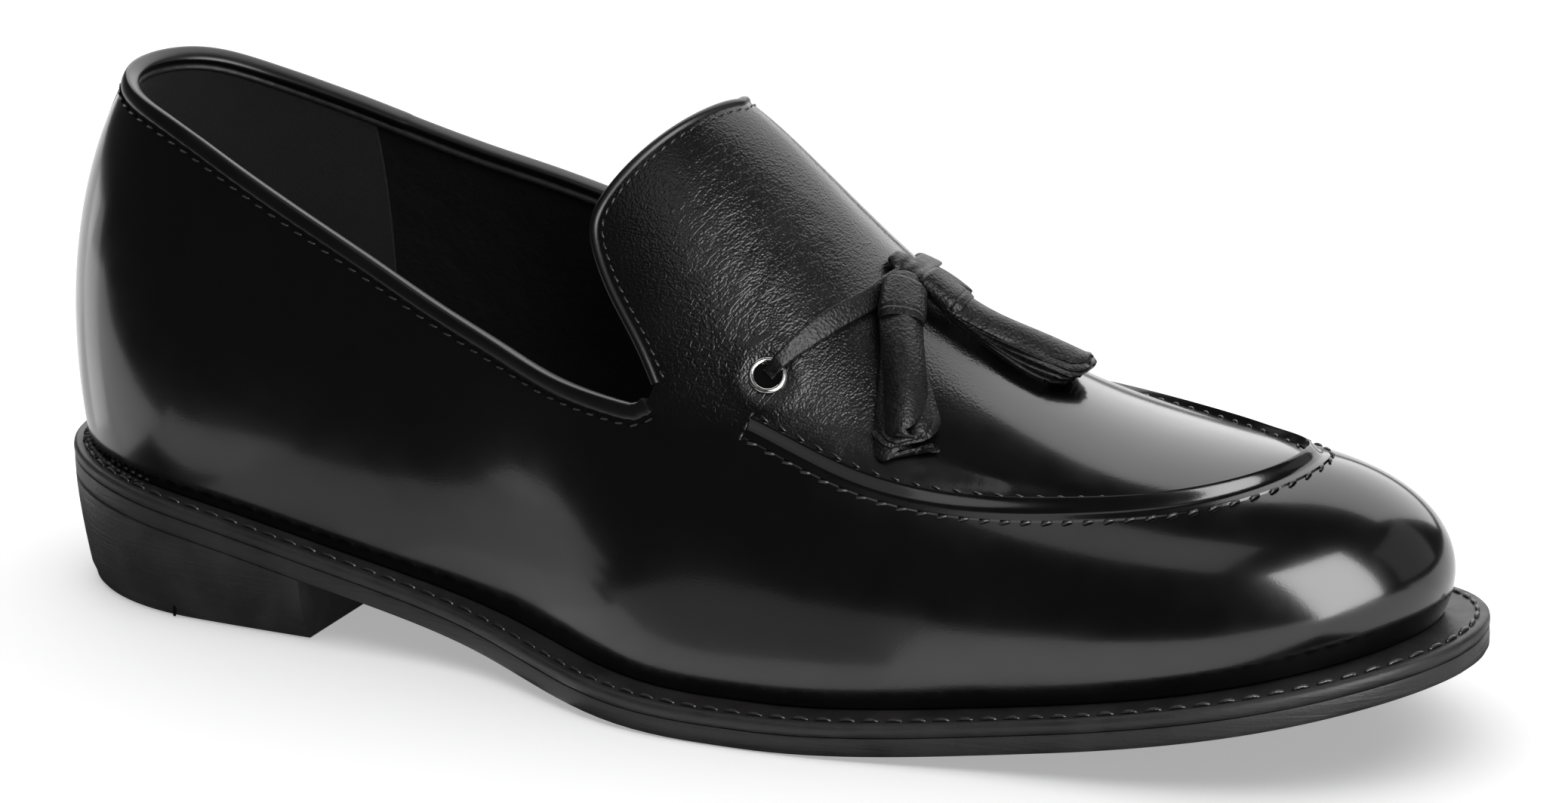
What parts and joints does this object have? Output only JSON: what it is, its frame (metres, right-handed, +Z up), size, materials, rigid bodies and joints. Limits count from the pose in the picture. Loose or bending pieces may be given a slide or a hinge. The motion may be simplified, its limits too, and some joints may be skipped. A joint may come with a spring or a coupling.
{
  "type": "tassel loafer",
  "caption": "Black leather tassel loafer for a right foot, with a moccasin apron, a tongue flap, a knotted lace with tassels, a welted leather sole and a low stacked heel",
  "frame": {"origin": "Middle of the shoe's box in plan, on the floor that it stands on", "axes": "+X runs from the heel to the toe, +Y to the wearer's left, which is the medial side, and +Z up from the floor"},
  "size_m": [0.3012, 0.1022, 0.1102],
  "materials": {
    "calf": "polished smooth black calf",
    "lace_leather": "black grained leather, satin",
    "sole_leather": "blacked and waxed sole edge",
    "insole_leather": "matt black lining leather",
    "rubber": "matt black rubber",
    "nickel": "nickel plated"
  },
  "bodies": {
    "root": {"outsole": "sole_leather", "welt": "sole_leather", "heel_stack": "sole_leather", "top_lift": "rubber", "insole": "insole_leather", "upper": "calf", "back_strip": "calf", "apron_ridge": "calf", "topline_binding": "calf", "eyelet_lateral": "nickel", "eyelet_medial": "nickel", "lace": "lace_leather", "lace_knot": "lace_leather", "tassel_lateral": "lace_leather", "tassel_medial": "lace_leather"}
  },
  "joints": []
}
